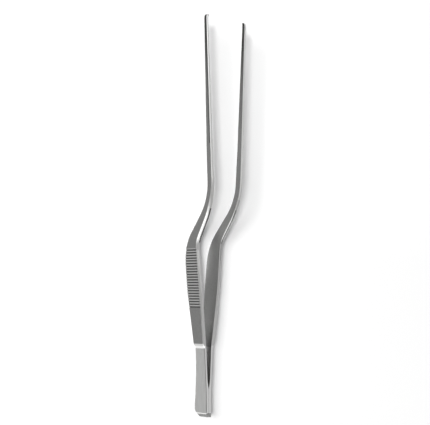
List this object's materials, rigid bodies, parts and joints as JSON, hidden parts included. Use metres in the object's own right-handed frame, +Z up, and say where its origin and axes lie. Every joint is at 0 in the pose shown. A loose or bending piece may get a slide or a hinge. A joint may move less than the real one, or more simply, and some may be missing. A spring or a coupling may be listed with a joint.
{
  "type": "offset tissue forceps",
  "caption": "Bayonet (offset) tissue forceps in satin stainless steel: sprung arms welded at the heel, grooved grips, offset shafts and toothed tips.",
  "frame": {"origin": "on the surface that the tool lies on, below the middle of its length and between the two arms", "axes": "+X along the tool from the heel towards the tips, +Y towards the left arm, +Z up, the way the shafts are offset from the handles"},
  "size_m": [0.2016, 0.029, 0.0213],
  "materials": {
    "satin_steel": "satin",
    "brushed_steel": "brushed"
  },
  "bodies": {
    "heel": {"heel": "brushed_steel"},
    "left_arm": {"left_arm": "satin_steel"},
    "right_arm": {"right_arm": "satin_steel"}
  },
  "joints": [
    {"name": "left_flex", "type": "hinge", "parent": "heel", "child": "left_arm", "pos_m": [-0.0772, 0.0011, 0.005], "axis": [0, 0, -1], "range_deg": [0, 4.09], "stiffness_Nm_per_rad": 3.5},
    {"name": "right_flex", "type": "hinge", "parent": "heel", "child": "right_arm", "pos_m": [-0.0772, -0.0011, 0.005], "axis": [0, 0, 1], "range_deg": [0, 4.09], "stiffness_Nm_per_rad": 3.5}
  ],
  "couplings": [
    {"joint": "right_flex", "follows": "left_flex", "ratio": 1}
  ]
}
